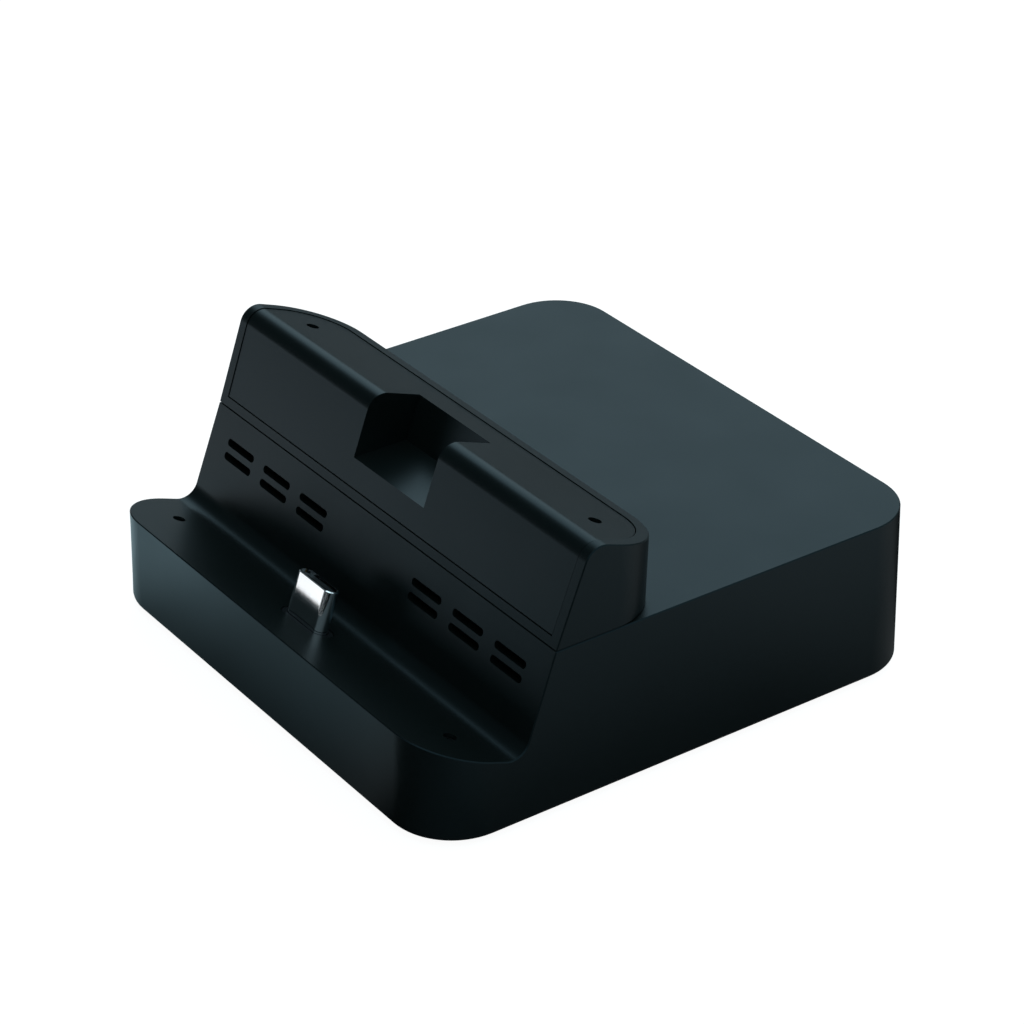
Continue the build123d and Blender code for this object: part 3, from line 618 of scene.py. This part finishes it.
def card_tint(tree, x):
    """Tint of the light: hazy far on the left, then plain, then cool, and nearly plain on the right."""
    distant = tree.nodes.new("ShaderNodeMix")
    distant.data_type = "RGBA"
    distant.inputs["A"].default_value = (*card_haze, 1.0)
    distant.inputs["B"].default_value = (*card_plain, 1.0)
    tree.links.new(ramp(tree, x, card_haze_end, 0.0, 1.0), distant.inputs["Factor"])
    begun = ramp(tree, x, card_cool_start, 0.0, 1.0)
    cool = product(tree, begun, ramp(tree, x, card_cool_end, 1.0, card_cool_share))
    tint = tree.nodes.new("ShaderNodeMix")
    tint.data_type = "RGBA"
    tint.inputs["B"].default_value = (*card_cool, 1.0)
    tree.links.new(cool, tint.inputs["Factor"])
    tree.links.new(distant.outputs["Result"], tint.inputs["A"])
    return tint.outputs["Result"]


def graded_card():
    """Glow of the card that only reflections see."""
    material = bpy.data.materials.new("graded_card")
    material.use_nodes = True
    tree = material.node_tree
    tree.nodes.remove(tree.nodes["Principled BSDF"])
    x, y, z = axes(tree, "Object")
    around = larger(tree, card_front(tree, x, y), card_back_left(tree, x, y))
    strength = larger(tree, around, card_right(tree, x, y))
    glow = tree.nodes.new("ShaderNodeEmission")
    tree.links.new(card_tint(tree, x), glow.inputs["Color"])
    tree.links.new(strength, glow.inputs["Strength"])
    tree.links.new(glow.outputs["Emission"], tree.nodes["Material Output"].inputs["Surface"])
    return material


def floor_paper():
    """White paper that glows to the eye and in reflections, and keeps a soft shadow."""
    material = bpy.data.materials.new("floor_paper")
    material.use_nodes = True
    tree = material.node_tree
    tree.nodes.remove(tree.nodes["Principled BSDF"])
    matte = tree.nodes.new("ShaderNodeBsdfDiffuse")
    matte.inputs["Color"].default_value = (*floor_tone, 1.0)
    glow = tree.nodes.new("ShaderNodeEmission")
    glow.inputs["Strength"].default_value = floor_white
    rays = tree.nodes.new("ShaderNodeLightPath")
    mirrored = larger(tree, rays.outputs["Is Glossy Ray"], rays.outputs["Is Transmission Ray"])
    seen = larger(tree, rays.outputs["Is Camera Ray"], mirrored)
    blend = tree.nodes.new("ShaderNodeMixShader")
    tree.links.new(ramp(tree, seen, (0.0, 1.0), 0.0, floor_glow), blend.inputs["Fac"])
    tree.links.new(matte.outputs["BSDF"], blend.inputs[1])
    tree.links.new(glow.outputs["Emission"], blend.inputs[2])
    tree.links.new(blend.outputs["Shader"], tree.nodes["Material Output"].inputs["Surface"])
    return material


def flat_sheet(name, size, height, material):
    """Level square sheet at a height."""
    bpy.ops.object.select_all(action="DESELECT")
    bpy.ops.mesh.primitive_plane_add(size=size)
    sheet = bpy.context.active_object
    sheet.name = name
    bpy.ops.transform.translate(value=(0.0, 0.0, height))
    bpy.ops.object.transform_apply()
    sheet.data.materials.append(material)
    return sheet


sky()
floor = flat_sheet("floor", floor_size, -floor_drop, floor_paper())
card = flat_sheet("reflection_card", card_size, card_lift, graded_card())
card.visible_camera = False
card.visible_diffuse = False
card.visible_shadow = False

bpy.ops.object.camera_add(location=camera_place, rotation=(camera_tilt, 0.0, camera_turn))
camera = bpy.context.active_object
camera.data.lens = camera_lens
camera.data.sensor_width = camera_sensor
camera.data.clip_start = camera_near
bpy.context.scene.camera = camera
bpy.context.scene.view_settings.view_transform = "Standard"
